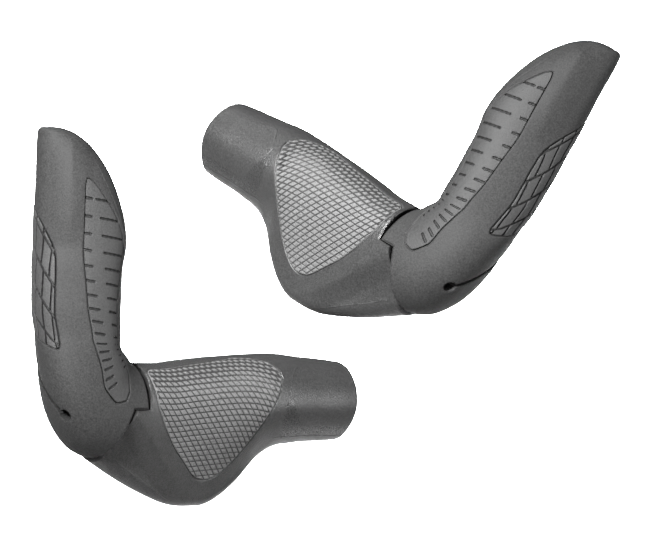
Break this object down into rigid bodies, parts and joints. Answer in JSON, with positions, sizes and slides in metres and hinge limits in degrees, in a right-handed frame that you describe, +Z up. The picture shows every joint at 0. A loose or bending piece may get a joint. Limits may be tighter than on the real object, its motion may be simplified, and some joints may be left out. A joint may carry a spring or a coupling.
{
  "type": "pair of bar end grips",
  "caption": "Pair of winged handlebar grips with a clamped, forward pointing horn at the outer end of each.",
  "frame": {"origin": "centre of the right grip's bar bore, at its inboard mouth", "axes": "+Z up and +X to the right as the pair is seen from the palm side; both bar axes are level and sweep back 38.4 degrees towards -Y; the horns point up and forward"},
  "size_m": [0.2247, 0.1404, 0.2326],
  "materials": {
    "core": "moulded matte",
    "shell": "fine stippled rubber",
    "palm": "soft rubber with raised lozenges",
    "composite": "grained fibre filled plastic",
    "horn_pad": "soft grooved rubber",
    "outer_pad": "soft cut rubber",
    "aluminium": "turned",
    "steel": "zinc plated"
  },
  "bodies": {
    "right_grip": {"right_grip_core": "core", "right_grip_shell": "shell", "right_palm_pad": "palm"},
    "right_horn": {"right_bar_end": "composite", "right_horn_inner_pad": "horn_pad", "right_horn_outer_pad": "outer_pad", "right_clamp_ring": "aluminium", "right_clamp_nut": "steel"},
    "right_washer": {"right_bolt_washer": "steel"},
    "right_bolt": {"right_clamp_bolt": "steel"},
    "left_grip": {"left_grip_core": "core", "left_grip_shell": "shell", "left_palm_pad": "palm"},
    "left_horn": {"left_bar_end": "composite", "left_horn_inner_pad": "horn_pad", "left_horn_outer_pad": "outer_pad", "left_clamp_ring": "aluminium", "left_clamp_nut": "steel"},
    "left_washer": {"left_bolt_washer": "steel"},
    "left_bolt": {"left_clamp_bolt": "steel"}
  },
  "joints": [
    {"name": "right_horn_turn", "type": "hinge", "parent": "right_grip", "child": "right_horn", "pos_m": [0.09404, -0.07454, 0], "axis": [-0.7837, 0.6211, 0], "range_deg": [0, 20]},
    {"name": "right_bolt_travel", "type": "slide", "parent": "right_horn", "child": "right_washer", "axis": [0.2566, 0.3237, -0.9107], "range_m": [0, 0.0016]},
    {"name": "right_bolt_turn", "type": "hinge", "parent": "right_washer", "child": "right_bolt", "pos_m": [0.11588, -0.075, 0.00599], "axis": [0.2566, 0.3237, -0.9107], "range_deg": [0, 720]},
    {"name": "left_horn_turn", "type": "hinge", "parent": "left_grip", "child": "left_horn", "pos_m": [-0.01994, -0.10514, -0.0886], "axis": [-0.7837, -0.6211, 0], "range_deg": [0, 20]},
    {"name": "left_bolt_travel", "type": "slide", "parent": "left_horn", "child": "left_washer", "axis": [-0.2566, 0.3237, -0.9107], "range_m": [0, 0.0016]},
    {"name": "left_bolt_turn", "type": "hinge", "parent": "left_washer", "child": "left_bolt", "pos_m": [-0.04178, -0.1056, -0.08261], "axis": [-0.2566, 0.3237, -0.9107], "range_deg": [0, 720]},
    {"name": "left_grip_apart", "type": "slide", "parent": "right_grip", "child": "left_grip", "axis": [-1, 0, 0], "range_m": [0, 0.06]}
  ],
  "couplings": [
    {"joint": "right_bolt_turn", "follows": "right_bolt_travel", "rad_per_m": 7854},
    {"joint": "left_bolt_turn", "follows": "left_bolt_travel", "rad_per_m": 7854}
  ]
}
